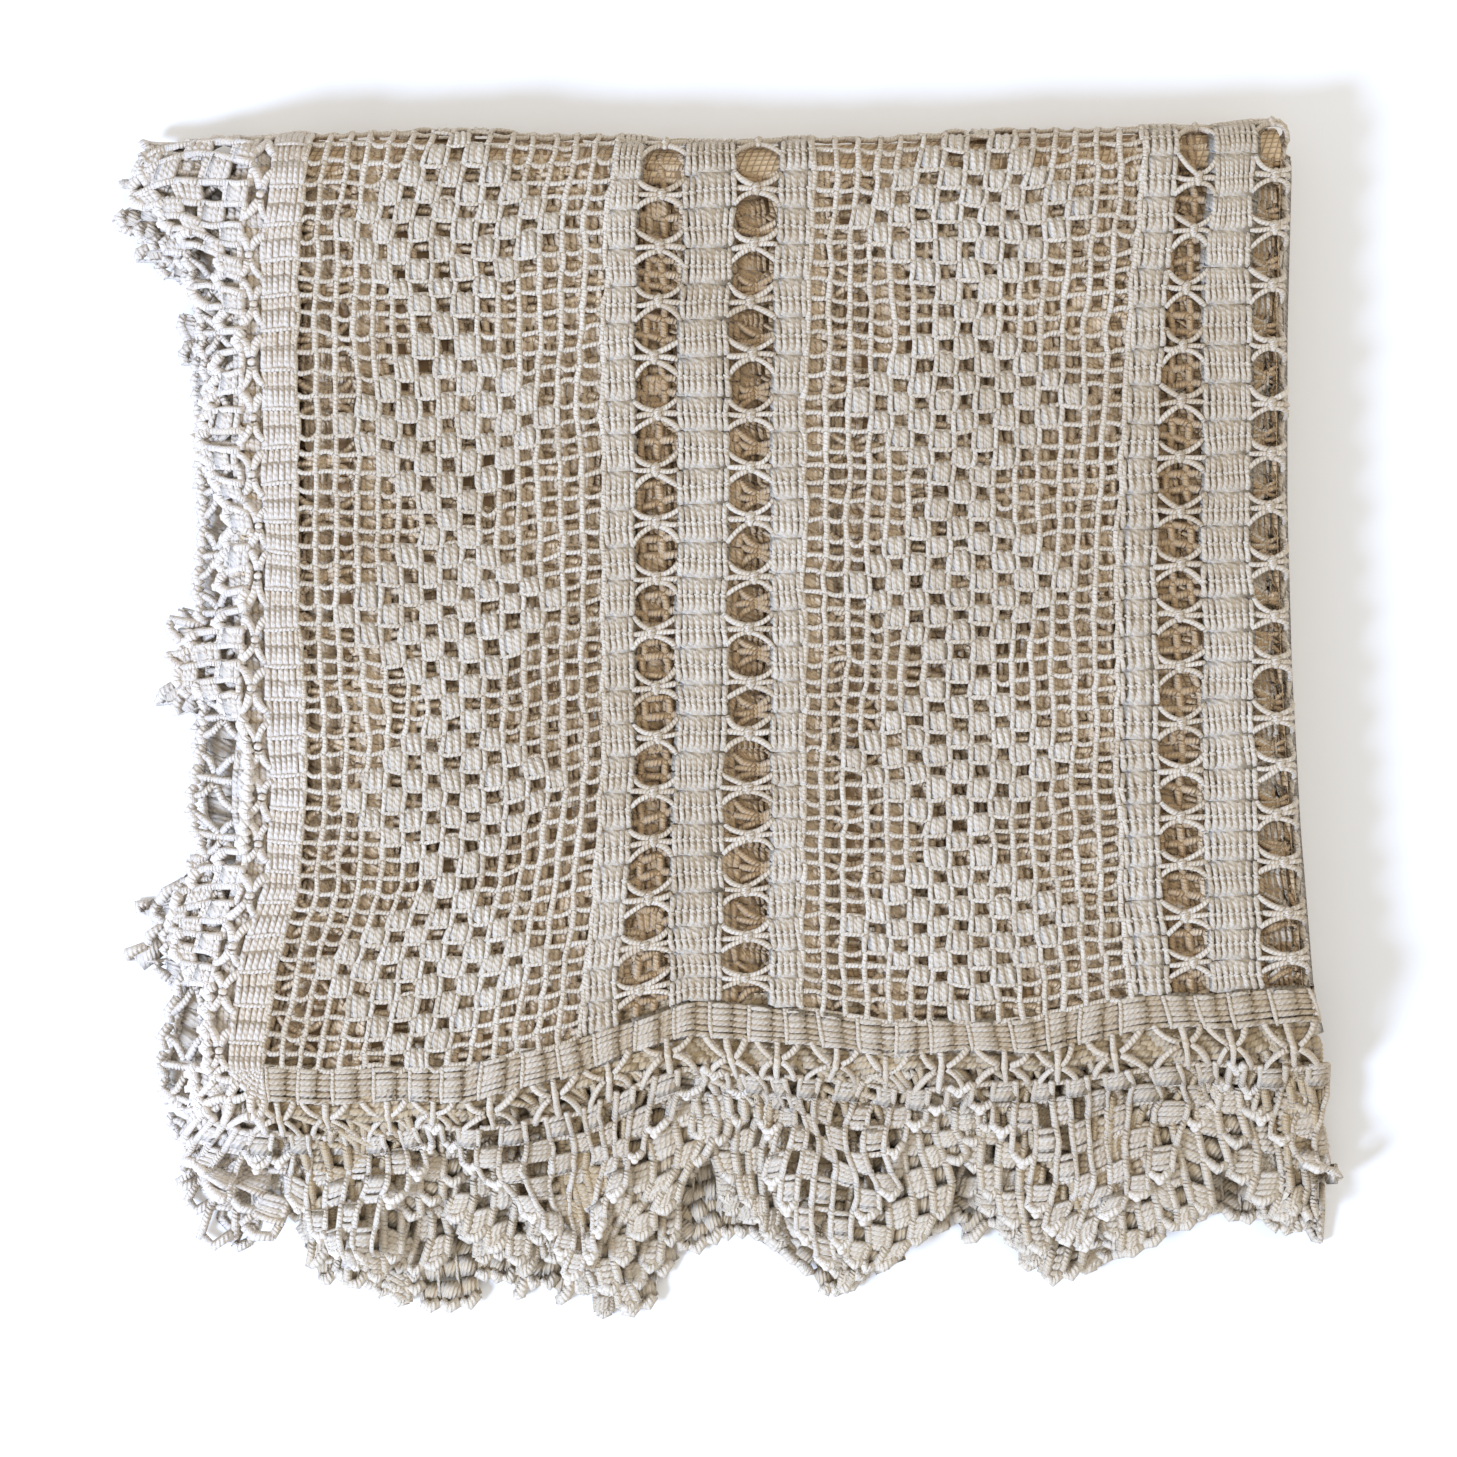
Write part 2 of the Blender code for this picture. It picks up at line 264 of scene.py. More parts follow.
TOP_WANDER, TOP_LIFT = 0.0006, 0.0005                # how unevenly the top layer lies
RUFFLE, BILLOW, SLIDE = 0.0018, 0.0032, 0.0036       # and how much more its edging does
TOP_EDGING, LOWER_EDGING = 0.06, 0.05                # over these distances past the cloth's edges
LOWER_WANDER_ACROSS, LOWER_WANDER_ALONG = 0.0010, 0.0015
LOWER_RUFFLE, LOWER_SLIDE = 0.0008, 0.0030
# The layers below don't lie edge on edge: how far their edgings lie out from the top one's, at
# shares of the cloth's width
LOWER_SIDE_SHIFT = 0.013
LOWER_FRONT_AT = (0.25, 0.45, 0.55, 0.70, 0.78, 1.0)
LOWER_FRONT_SHIFT = (0, 5, -7, -5, 11, 9)
LOWER_FRONT_SLIDE = 0.025    # how far the last layer's points hang beside the top layer's
LAST_LEG = 0.76              # the last layer starts at this share of the cloth's width
FACE_DOWN = -0.6


def past_edges(across, along, reach):
    """How far out past the cloth's edges a place lies: 1 at the reach."""
    ways_out = (-across, across - CLOTH_ACROSS, -along, along - CLOTH_ALONG)
    return sum(np.clip(way / reach, 0.0, 1.0) for way in ways_out)


def slide(across, along, size):
    """How far the soft edging has slid, across and along."""
    return size * wander_up(along, across), size * wander_up(along + 0.3, across)


def lay_top(across, along, lift):
    """Like lay, for the layer that faces up: drifted, uneven, and crumpled at its edging."""
    columns = np.array(COLUMNS_AT)
    shift = np.interp(across, columns * MM, (np.array(COLUMNS_LIE) - columns) * MM)
    inside = np.clip(across / 0.02, 0.0, 1.0)
    new_across = across + shift + look_up(DRIFT_ACROSS, across, along)
    new_along = along + look_up(DRIFT_ALONG, across, along)
    new_across = new_across + TOP_WANDER * wander_across(across, along) * inside
    new_along = new_along + TOP_WANDER * wander_along(across, along)
    outside = past_edges(across, along, TOP_EDGING)
    lift = lift + TOP_LIFT * wander_up(across, along) + RUFFLE * outside * ruffle(across, along)
    lift = lift + BILLOW * outside * billow(across, along)
    slide_across, slide_along = slide(across, along, SLIDE * outside)
    return lay(new_across + slide_across, new_along + slide_along, lift)


def lay_lower(across, along, lift):
    """Like lay, for the layers below: only slightly uneven."""
    new_across = across + LOWER_WANDER_ACROSS * wander_along(along, across)
    new_across = new_across + LOWER_SIDE_SHIFT * np.clip((across - CLOTH_ACROSS + 0.08) / 0.08, 0.0, 1.0)
    new_along = along + LOWER_WANDER_ALONG * wander_across(along, across)
    front_at = np.array(LOWER_FRONT_AT) * CLOTH_ACROSS
    front_shift = np.interp(across, front_at, np.array(LOWER_FRONT_SHIFT) * MM)
    new_along = new_along - front_shift * np.clip((0.04 - along) / 0.04, 0.0, 1.0)
    last_leg = np.clip((across - LAST_LEG * CLOTH_ACROSS) / 0.02, 0.0, 1.0)
    new_across = new_across - LOWER_FRONT_SLIDE * last_leg * np.clip(-along / 0.03, 0.0, 1.0)
    outside = past_edges(across, along, LOWER_EDGING)
    slide_across, slide_along = slide(across, along, LOWER_SLIDE * outside)
    lift = lift + LOWER_RUFFLE * outside * ruffle(across, along)
    return lay(new_across + slide_across, new_along + slide_along, lift)


def lay_face_down(across, along, lift):
    """Like lay_lower, for the last layer, whose yarn stands up less, on its other side."""
    return lay_lower(across, along, FACE_DOWN * lift)


# ---------------------------------------------------------------- strands of yarn
TONE_COLUMN, PLIED_COLUMN = 13, 14       # where tone and plied stand in a table of strands
RUN_UNIT = 0.01                          # a length of yarn that counts as one in its UV map


def jitter(shape, size):
    """Random shifts of about a size."""
    return rng.normal(0.0, size, shape)


class Yarn:
    """Collects strands, and joins them into one mesh."""

    def __init__(self, name):
        self.name = name
        self.groups = {}
        # Painted shade and light by place, added to the tone of each point
        self.shade = lambda ring: np.zeros(len(ring))

    def add(self, place, start, end, form=(6, 6), bow=0.0, lifts=0.0, wide=0.0013, thick=0.0008,
            grow=1.0, phase=0.0, turns=1.0, taper=0.15, tone=0.0, plied=1.0, even=False):
        """Strands from start to end, each one place or several in what the function place() takes.

        form: points along a strand and sides round it. bow: how far it bends sideways. lifts: its
        height over the cloth, all along or at its start, middle and end. wide, thick: half its size
        each way, times grow. phase, turns: its twist, which starts anywhere if phase is None. taper:
        how much thinner its ends are. tone: how pale it is, which varies a little unless it is even, and
        which callers also use for painted shade and painted light.
        plied: how often the pattern of plies repeats round it.
        """
        start = np.atleast_2d(np.asarray(start, dtype=float))
        end = np.atleast_2d(np.asarray(end, dtype=float))
        number = len(start)
        if number == 0:
            return
        phase = rng.uniform(0, 3.1, number) if phase is None else phase
        tone = tone if even else tone + jitter(number, 1.0)
        lifts = lifts if isinstance(lifts, tuple) else (lifts,) * 3
        size = grow * wide, grow * thick
        values = (*start.T, *end.T, bow, *lifts, *size, phase, turns, taper, tone, plied)
        columns = [np.broadcast_to(np.asarray(value, dtype=float), (number,)) for value in values]
        self.groups.setdefault((place, *form), []).append(np.stack(columns, axis=1))

    def plate(self, place, start, end, lifts, wide, thick=0.0007, turns=0.0, tone=-1.0, plied=4.0):
        """A flat strand behind the stitches, arched where it has three lifts. Its default tone is a little
        darker: painted shade behind the stitches.
        """
        form = (3, 4) if isinstance(lifts, tuple) else (2, 4)
        self.add(place, start, end, form, lifts=lifts, wide=wide, thick=thick, turns=turns, taper=0.0,
                 tone=tone, plied=plied, even=True)

    def rings(self, place, table, points, sides):
        """Ring points of the strands in a table, how far along the yarn each ring lies, and its twist."""
        columns = [column[:, None] for column in table.T]
        u0, v0, u1, v1, bow, low, middle, high, wide, thick, phase, turns, taper = columns[:TONE_COLUMN]
        share = np.linspace(0.0, 1.0, points)[None, :]
        step_u, step_v = u1 - u0, v1 - v0
        length = np.maximum(np.hypot(step_u, step_v), 1e-6)
        arch = 4.0 * share * (1.0 - share) * bow / length
        first = u0 + step_u * share - arch * step_v
        second = v0 + step_v * share + arch * step_u
        control = 2.0 * middle - 0.5 * (low + high)
        lift = low * (1 - share) ** 2 + 2.0 * control * share * (1 - share) + high * share ** 2
        centre = place(first, second, lift)
        normal = place(first, second, lift + 0.0004) - centre
        tangent = np.gradient(centre, axis=1)
        tangent /= np.maximum(np.linalg.norm(tangent, axis=2, keepdims=True), 1e-9)
        side = np.cross(tangent, normal)
        side /= np.maximum(np.linalg.norm(side, axis=2, keepdims=True), 1e-9)
        normal = np.cross(side, tangent)
        narrow = 1.0 - taper * (2.0 * share - 1.0) ** 4
        twist = phase + 2.0 * math.pi * turns * share
        around = 2.0 * math.pi * np.arange(sides) / sides
        a, b = (wide * narrow)[:, :, None], (thick * narrow)[:, :, None]
        from_ply = around - twist[:, :, None]
        radius = (a * b / np.hypot(b * np.cos(from_ply), a * np.sin(from_ply)))[..., None]
        if sides == 4:
            radius = np.stack([a, b, a, b], axis=2)
        sideways = np.cos(around)[:, None] * side[:, :, None, :]
        outward = sideways + np.sin(around)[:, None] * normal[:, :, None, :]
        ring = (centre[:, :, None, :] + radius * outward).reshape(-1, 3)
        pressed = LOWEST + SOFT * np.exp(np.minimum(ring[:, 2] - LOWEST - SOFT, 0.0) / SOFT)
        ring[:, 2] = np.where(ring[:, 2] < LOWEST + SOFT, pressed, ring[:, 2])
        lengths = np.linalg.norm(np.diff(centre, axis=1), axis=2)
        run = np.concatenate([np.zeros((len(table), 1)), np.cumsum(lengths, axis=1)], axis=1) / RUN_UNIT
        return ring, run, twist / (2.0 * math.pi)

    def build(self, material):
        """The mesh object of everything that was added."""
        rings, loops, sizes, uvs, tones = [], [], [], [], []
        base = 0
        for (place, points, sides), tables in self.groups.items():
            table = np.concatenate(tables)
            number = len(table)
            ring, run, twist = self.rings(place, table, points, sides)
            rings.append(ring)
            first = base + np.arange(number)[:, None, None] * points * sides
            k = np.arange(points - 1)[None, :, None] * sides
            j = np.arange(sides)[None, None, :]
            j_next = (j + 1) % sides
            quads = np.stack([first + k + j, first + k + sides + j, first + k + sides + j_next,
                              first + k + j_next], axis=-1)
            loops.append(quads.reshape(-1))
            sizes.append(np.full(quads.size // 4, 4))
            plied = table[:, PLIED_COLUMN][:, None, None]
            corners = []
            for column, step in ((j, 0), (j, 1), (j + 1, 1), (j + 1, 0)):
                row = slice(step, points - 1 + step)
                u = (column / sides - twist[:, row, None]) * plied
                corners.append(np.stack([u, np.broadcast_to(run[:, row, None], u.shape)], axis=-1))
            uvs.append(np.stack(corners, axis=3).reshape(-1, 2))
            cap = first[:, 0, :] + np.arange(sides)[None, :]
            for ends in (cap, cap[:, ::-1] + (points - 1) * sides):
                loops.append(ends.reshape(-1))
                sizes.append(np.full(number, sides))
                uvs.append(np.zeros((number * sides, 2)))
            tones.append(np.repeat(table[:, TONE_COLUMN], points * sides) + self.shade(ring))
            base += number * points * sides
        loops, sizes = np.concatenate(loops), np.concatenate(sizes)
        mesh = bpy.data.meshes.new(self.name)
        mesh.vertices.add(base)
        mesh.vertices.foreach_set("co", np.concatenate(rings).astype(np.float32).ravel())
        mesh.loops.add(len(loops))
        mesh.loops.foreach_set("vertex_index", loops.astype(np.int32))
        mesh.polygons.add(len(sizes))
        starts = np.concatenate([[0], np.cumsum(sizes)[:-1]])
        mesh.polygons.foreach_set("loop_start", starts.astype(np.int32))
        layer = mesh.uv_layers.new(name="yarn")
        layer.data.foreach_set("uv", np.concatenate(uvs).astype(np.float32).ravel())
        tone = mesh.attributes.new("tone", "FLOAT", "POINT")
        tone.data.foreach_set("value", np.concatenate(tones).astype(np.float32))
        mesh.update(calc_edges=True)
        return make_piece(mesh, material)


def make_piece(mesh, material):
    """A smooth object of a mesh, named after it."""
    mesh.shade_smooth()
    mesh.materials.append(material)
    piece = bpy.data.objects.new(mesh.name, mesh)
    bpy.context.scene.collection.objects.link(piece)
    return piece


# ---------------------------------------------------------------- the filet body
# How a part of the cloth is worked. The first five give the form of each kind of strand. fine: with
# what only shows close up. grow: how much thicker the strands are, so that fewer cover as much.
# solid: plates in place of stitches. The others are for the edging. ridge: how far every second row
# stands up. fill: how high a plate lies under each cell, 0 for none. stretch: how much deeper the
# points are. ladder: the share of its depth that the ladder keeps. spokes: to each side of a knot.
# arm: half a spoke's width.
FULL = {"stitch": (4, 6), "bar": (4, 5), "chain": (5, 5), "spoke": (5, 6), "knot": (5, 8), "fine": True,
        "grow": 1.0, "solid": False, "ridge": 0.0009, "fill": 0.0, "stretch": 1.0, "ladder": 1.0,
        "spokes": 3, "arm": 0.00165}
PLAIN = dict(FULL, stitch=(3, 4), bar=(2, 4), chain=(2, 4), spoke=(3, 4), knot=(3, 4), fine=False,
             grow=1.15, ridge=0.0006)
THREADS = dict(PLAIN, stitch=(2, 3), bar=(2, 3), chain=(2, 3), spoke=(2, 3), knot=(2, 3), grow=1.3)
STICKS = dict(THREADS, solid=True)
FULL_LACE = dict(FULL, stitch=(4, 5), bar=(3, 5))
LEFT_LACE = dict(FULL_LACE, ridge=0.0003, ladder=0.55, spokes=2, arm=0.0018, grow=1.3)

BANDS = ((136.5, 151.0, 5), (171.0, 193.5, 8), (213.0, 228.2, 5))        # from, to, stitches
LADDERS = ((151.0, 171.0), (193.5, 213.0))
LADDER_SHADE = -7.0
LADDERS_LIE = ((151.2, 171.0), (193.5, 213.3), (386.6, 405.9), (428.4, 452.0))   # on the top layer
REPEATS = 8
LOZENGE_ROWS = 10            # rows from lozenge to lozenge
LOZENGE_REACH = 5            # cells from a lozenge's middle to its side
MIDDLE_CELL = 7
KNOT_ROWS = 3                # rows from knot to knot of a ladder


def blocks_in(row):
    """The cells of a panel that are filled in a row: a lozenge that grows and shrinks."""
    reach = LOZENGE_REACH - abs((row % LOZENGE_ROWS) - LOZENGE_REACH)
    return [MIDDLE_CELL - reach + 2 * number for number in range(reach + 1)]


def body_panel(yarn_of, place, start, rows, detail):
    """A panel of open mesh with its lozenges of blocks."""
    posts = start + CELL * np.arange(PANEL_CELLS + 1)
    grid_u, grid_v = np.meshgrid(posts, np.arange(rows[0], rows[1] + 1) * ROW, indexing="ij")
    grid_u = grid_u + jitter(grid_u.shape, 0.00040)
    grid_v = grid_v + jitter(grid_v.shape, 0.00050)
    grid = np.stack([grid_u, grid_v], axis=2)
    stitch, grow = detail["stitch"], detail["grow"]
    cells = np.arange(PANEL_CELLS)
    for number, row in enumerate(range(*rows)):
        yarn = yarn_of(row)
        twisted = row % 2 == 0
        turns = 0.35 if twisted else 0.15
        near, far = grid[:, number], grid[:, number + 1]
        full = np.isin(cells, blocks_in(row))
        blocks, gaps = cells[full], cells[~full]

        # The posts between cells, fuller beside a block
        right_of, left_of = np.append(full, False), np.insert(full, 0, False)
        touched = right_of | left_of
        bulge = np.where(right_of, -0.0001, 0.0) + np.where(left_of, 0.0001, 0.0)
        yarn.add(place, far + [0.0002, 0.0006], near - [0.0002, 0.0004], stitch, grow=grow,
                 bow=bulge + jitter(len(near), 0.00030),
                 lifts=(0.0002, np.where(touched, 0.0009, 0.0003), np.where(touched, 0.0009, 0.0006)),
                 wide=np.where(touched, 0.00165, 0.00148), thick=np.where(touched, 0.00112, 0.00108),
                 phase=None, turns=np.where(touched, turns, 1.6), taper=np.where(touched, 0.0, -0.22),
                 tone=touched, plied=1.0 + touched)

        # Each block's two stitches, with a plate behind them
        which = np.repeat(blocks, 2)
        part = np.tile([0.32, 0.68], len(blocks))[:, None]
        top, foot = (line[which] * (1 - part) + line[which + 1] * part for line in (far, near))
        lifts = (0.0006, 0.0014, 0.0012)
        yarn.add(place, top + [-0.0004, 0.0006], foot + [0.0004, -0.0004], stitch, grow=grow,
                 bow=jitter(len(which), 0.0001), lifts=lifts, wide=0.00190, thick=0.00108,
                 phase=(0.5 if twisted else 0.1) + jitter(len(which), 0.2), turns=turns, taper=0.05,
                 tone=1.0, plied=2.0)
        if detail["fine"]:
            middles = [0.5 * (line[blocks] + line[blocks + 1]) for line in (far, near)]
            yarn.plate(place, *middles, lifts, wide=0.0046, thick=0.0008, tone=0.0, plied=6.0)

        # The bars of the open cells, and the chains across the blocks
        yarn.add(place, near[gaps] + [0.0004, 0], near[gaps + 1] - [0.0004, 0], detail["bar"], grow=grow,
                 bow=-0.0004 + jitter(len(gaps), 0.0008), lifts=(0.0003, -0.0001, 0.0003), wide=0.00138,
                 thick=0.00100, phase=None, turns=1.9, taper=-0.15)
        high = 0.0014 if twisted else 0.0017
        yarn.add(place, near[blocks] - [0.0004, 0.0004], near[blocks + 1] + [0.0004, -0.0004],
                 detail["chain"], grow=grow, bow=-0.0003, lifts=(high - 0.0005, high, high - 0.0005),
                 wide=0.00128, thick=0.00095, phase=None, turns=1.9, taper=0.3)


def dense_band(yarn_of, place, start, end, count, rows, detail):
    """A solid band: stitches side by side, a groove after every second row."""
    pitch = (end - start) / count
    middles = start + pitch * (np.arange(count) + 0.5)
    middle = 0.5 * (start + end)
    stitch, grow = detail["stitch"], detail["grow"]
    shake = jitter((count, rows[1] - rows[0] + 1, 2), 0.00016)
    for number, row in enumerate(range(*rows)):
        yarn = yarn_of(row)
        foot = np.stack([middles, np.full(count, row * ROW)], axis=1) + shake[:, number]
        top = np.stack([middles, np.full(count, (row + 1) * ROW)], axis=1) + shake[:, number + 1]
        yarn.plate(place, [middle, (row + 1) * ROW], [middle, row * ROW], 0.0003, 0.52 * (end - start),
                   plied=count)
        if row % 2 == 0:
            yarn.add(place, top + [-0.0003, 0.0002], foot + [0.0003, 0.0005], stitch, bow=0.0001,
                     lifts=(0.0006, 0.0007, -0.0002), wide=0.00180, thick=0.00108, grow=grow,
                     phase=0.9 + jitter(count, 0.2), turns=0.4, taper=0.1, plied=2.0)
            continue
        yarn.add(place, top + [0.0, -0.0006], foot + [0.0, -0.0002], stitch, bow=jitter(count, 0.00012),
                 lifts=(-0.0002, 0.0005, 0.0008), wide=0.00178, thick=0.00106, grow=grow,
                 phase=0.35 + jitter(count, 0.25), turns=0.2, taper=0.1, plied=2.0)
        if detail["fine"]:
            half = np.array([0.5 * pitch, 0.0])
            yarn.add(place, foot - half + [0, 0.0007], foot + half - [0, 0.0007], (3, stitch[1]),
                     lifts=(0.0011, 0.0014, 0.0011), wide=0.00100, thick=0.00080, phase=0.5, turns=0.5,
                     taper=0.3)


def ladder(yarn_of, place, start, end, rows, detail):
    """A ladder of knots, each with three spokes to either side."""
    for line in range(rows[0], rows[1] + 1):
        if line % KNOT_ROWS != 2:
            continue
        yarn = yarn_of(min(line, rows[1] - 1))
        spot = np.array([0.5 * (start + end), line * ROW]) + jitter(2, 0.0006)
        for way, edge in ((-1, start), (1, end)):
            reach = np.array([[edge, (line + step) * ROW] for step in (-0.95, 0.0, 0.95)])
            reach = reach + jitter(reach.shape, 0.0004)
            root = spot + np.array([[way * 0.0008, step] for step in (-0.0016, 0.0, 0.0016)])
            yarn.add(place, root, reach + [way * 0.0008, 0], detail["spoke"], grow=detail["grow"],
                     bow=way * np.array([0.0010, 0.0, -0.0010]) + jitter(3, 0.0004),
                     lifts=(0.0006, 0.0006, 0.0003), wide=0.00142, thick=0.00110, phase=None, turns=2.2,
                     taper=0.1)
        yarn.add(place, spot - [0, 0.0028], spot + [0, 0.0028], detail["knot"],
                 lifts=(0.0004, 0.0011, 0.0004), wide=0.00190, thick=0.00155, phase=0.4, turns=0.6,
                 taper=0.45)
        if detail["fine"]:
            yarn.add(place, [spot + [-0.0021, 0.0008], spot + [-0.0021, -0.0010]],
                     [spot + [0.0021, 0.0012], spot + [0.0021, -0.0006]], (5, 6),
                     lifts=(0.0004, 0.0027, 0.0004), wide=0.00085, thick=0.0006, turns=0.5, taper=0.2,
                     tone=0.5, even=True)


def body(yarn_of, place, start, end, rows, detail):
    """Everything of the body from start to end across, and over a range of rows."""
    for base in REPEAT * np.arange(REPEATS):
        if base < end and base + PANEL > start:
            body_panel(yarn_of, place, base, rows, detail)
        for low, high, count in BANDS:
            if base + low * MM < end and base + high * MM > start:
                dense_band(yarn_of, place, base + low * MM, base + high * MM, count, rows, detail)
        for low, high in LADDERS:
            if base + low * MM < end and base + high * MM > start:
                ladder(yarn_of, place, base + low * MM, base + high * MM, rows, detail)


def under_ladders(ring):
    """Painted shade: how much darker the yarn is that lies deep under the top layer's ladders."""
    x = ring[:, 0]
    shade = np.zeros_like(x)
    for low, high in LADDERS_LIE:
        shade[(x > PACKET_CORNER[0] + low * MM) & (x < PACKET_CORNER[0] + high * MM)] = LADDER_SHADE
    return shade


def under_rim(rim, axis, darkest):
    """A shade for yarn that lies under the top layer's edging, given that edging's rim."""
    rim = rim[np.argsort(rim[:, 1 - axis])]

    def shade(ring):
        edge = np.interp(ring[:, 1 - axis], rim[:, 1 - axis], rim[:, axis])
        return darkest * np.clip((ring[:, axis] - edge - 0.001) / 0.006, 0.0, 1.0)

    return shade


def painted_light_at_rim(ring):
    """Painted light and shade on the front edging: palest along its points and at the left, darkest by its
    band.
    """
    by_depth = 1.0 + 2.2 * np.clip((-0.195 - ring[:, 1]) / 0.040, -1.0, 1.0)
    return by_depth - 0.8 * np.clip(ring[:, 0] / 0.150, -1.0, 1.0)


# ---------------------------------------------------------------- the lace edging
LACE_BAND = 0.0158           # depth of its solid band
LACE_BAND_STITCHES = 6
LACE_LADDER_END = 0.0325     # where its ladder ends and its points begin
LACE_CELL = 0.0099
POINT_ROWS = 14              # rows of a point, and cells at its tip
POINT_CELLS = 8
MOST_CELLS = 9
CORNER_CELLS = (1, 4, 3, 2, 1, 0, 0, 0, 0)
FAN_ROW = 0.0078
# Open work stands as plates in painted shade: they are toned darker than the blocks.
OPEN_WORK_SHADE = -3.0               # tone of plates that stand for open work


def row_ends(near, far, depth):
    """Where strands start and end that run from near to far, at several depths."""
    return [np.stack([np.full(len(depth), distance), depth], axis=1) for distance in (near, far)]


def lace_band(yarn, place, near, far, number, detail):
    """The solid band of one row: raised on every second row."""
    count = LACE_BAND_STITCHES
    middle = 0.5 * LACE_BAND
    if detail["solid"]:
        yarn.plate(place, [near, middle], [far, middle], 0.0, middle, 0.0010, turns=0.4, tone=0.0,
                   plied=6.0)
        return
    ridge = number % 2 == 0
    lift = detail["ridge"] if ridge else -detail["ridge"]
    depth = LACE_BAND * (np.arange(count) + 0.6) / count
    start, end = (places + jitter((count, 2), 0.00018) for places in row_ends(near, far, depth))
    rise = lift - np.where(np.arange(count) == 0, 0.0003, 0.0)
    # Recessed rows are painted darker and raised rows paler, with a darker plate behind a recessed row:
    # painted shade and painted light.
    yarn.add(place, start - [0.0007, 0], end + [0.0007, 0], detail["stitch"], grow=detail["grow"],
             lifts=(rise - 0.0003, rise + 0.0004, rise - 0.0003), wide=0.00195, thick=0.00112,
             phase=0.3 + jitter(count, 0.2), turns=0.2, taper=0.05, tone=1.0 if ridge else -2.0, plied=2.0)
    if detail["fine"]:
        yarn.plate(place, [near, middle], [far, middle], lift, middle, tone=-1.0 if ridge else -3.5,
                   plied=count)
    if ridge and detail["fine"]:
        yarn.add(place, [near - 0.0003, 0.0004], [near - 0.0003, LACE_BAND + 0.0006], (9, 6),
                 lifts=(0.0008, 0.0017, 0.0009), wide=0.00115, thick=0.00085, turns=3.2, tone=0.8,
                 even=True)


def lace_ladder(yarn, place, near, far, detail):
    """A knot of the edging's ladder, with its spokes."""
    middle = 0.5 * (LACE_BAND + LACE_LADDER_END)
    spot = np.array([0.5 * (near + far), middle]) + jitter(2, 0.0007)
    for way, edge in ((-1, LACE_BAND), (1, LACE_LADDER_END)):
        for step in np.linspace(-1.2, 1.2, detail["spokes"]):
            target = np.array([spot[0] + step * (far - near), edge + way * 0.0008]) + jitter(2, 0.0006)
            yarn.add(place, spot + [0.0018 * step, way * 0.0006], target, detail["spoke"],
                     bow=-way * step * 0.0009, lifts=(0.0008, 0.0008, 0.0004), wide=detail["arm"],
                     thick=0.00120, grow=detail["grow"], phase=None, turns=1.8, taper=0.0, tone=1.0)
    yarn.add(place, spot - [0, 0.0026], spot + [0, 0.0026], detail["knot"], lifts=(0.0005, 0.0013, 0.0005),
             wide=0.0018, thick=0.0015, turns=0.5, taper=0.4)


def lace_points(yarn, place, near, far, number, cells, next_cells, detail):
    """The pointed part of one row: blocks and open cells like a draughtboard, bars and rim."""
    grow, solid, fine = detail["grow"], detail["solid"], detail["fine"]
    shake = jitter((cells + 1, 2), 0.0004)
    for cell in range(cells):
        low = LACE_LADDER_END + cell * LACE_CELL
        middle = low + 0.5 * LACE_CELL
        ends = [near, middle], [far, middle]
        block = (number + cell) % 2 == 1
        if solid:
            lift, thick, tone = (0.0006, 0.0012, 0.0) if block else (0.0, 0.0006, OPEN_WORK_SHADE)
            yarn.plate(place, *ends, lift, 0.5 * LACE_CELL, thick, turns=0.3, tone=tone)
            continue
        count = 4 if block else 1
        depth = low + (LACE_CELL * (np.arange(4) + 0.5) / 4 if block else np.array([0.0003]))
        start, end = (places + shake[cell] for places in row_ends(near, far, depth))
        high = 0.0012 if block else 0.0003
        yarn.add(place, start - [0.0003, 0], end + [0.0003, 0], detail["stitch"], grow=grow,
                 lifts=(high - 0.0008, high, high - 0.0008), bow=jitter(count, 0.00015),
                 wide=0.00175 if block else 0.00140, thick=0.00110, phase=jitter(count, 0.3),
                 turns=0.2 if block else 1.5, taper=0.1 if block else -0.2, tone=block, plied=1.0 + block)
        # The fill plate's low tone is painted shade in the open cells.
        if detail["fill"]:
            yarn.plate(place, *ends, detail["fill"], 0.5 * LACE_CELL, 0.0006, turns=0.3, tone=-4.0)
        if block and fine:
            yarn.plate(place, *ends, (0.0004, 0.0012, 0.0004), 0.0046, 0.0008)
    bars = max(cells, next_cells)
    if solid:
        yarn.add(place, [far, LACE_LADDER_END], [far, LACE_LADDER_END + bars * LACE_CELL], (3, 3),
                 wide=0.0014, thick=0.0010, turns=0.3, even=True)
    else:
        depth = LACE_LADDER_END + LACE_CELL * np.arange(bars + 1)
        joints = row_ends(near, far, depth)[1] + jitter((bars + 1, 2), 0.0003)
        raised = 0.0017 if number % 2 else 0.0010
        yarn.add(place, joints[:-1], joints[1:], detail["bar"], grow=grow, bow=jitter(bars, 0.0004),
                 lifts=raised, wide=0.00160, thick=0.00118, phase=None, turns=2.1, taper=-0.1, tone=0.4)
    outer = LACE_LADDER_END + cells * LACE_CELL
    # The rim and its picot are painted much paler: a painted highlight along the points' edge.
    yarn.add(place, [near + 0.0002, outer - 0.0008], [far - 0.0002, outer - 0.0008],
             (6, 6) if fine else (3, 4), grow=grow, bow=0.0028, lifts=(0.0010, 0.0018, 0.0010),
             wide=0.0022, thick=0.0018, turns=1.2, taper=0.1, tone=5.0)
    if fine:
        middle = 0.5 * (near + far)
        yarn.add(place, [middle - 0.0016, outer + 0.0028], [middle + 0.0016, outer + 0.0028], (4, 6),
                 bow=0.0008, lifts=(0.0010, 0.0020, 0.0010), wide=0.0021, thick=0.0018, turns=0.3,
                 taper=0.5, tone=5.5)


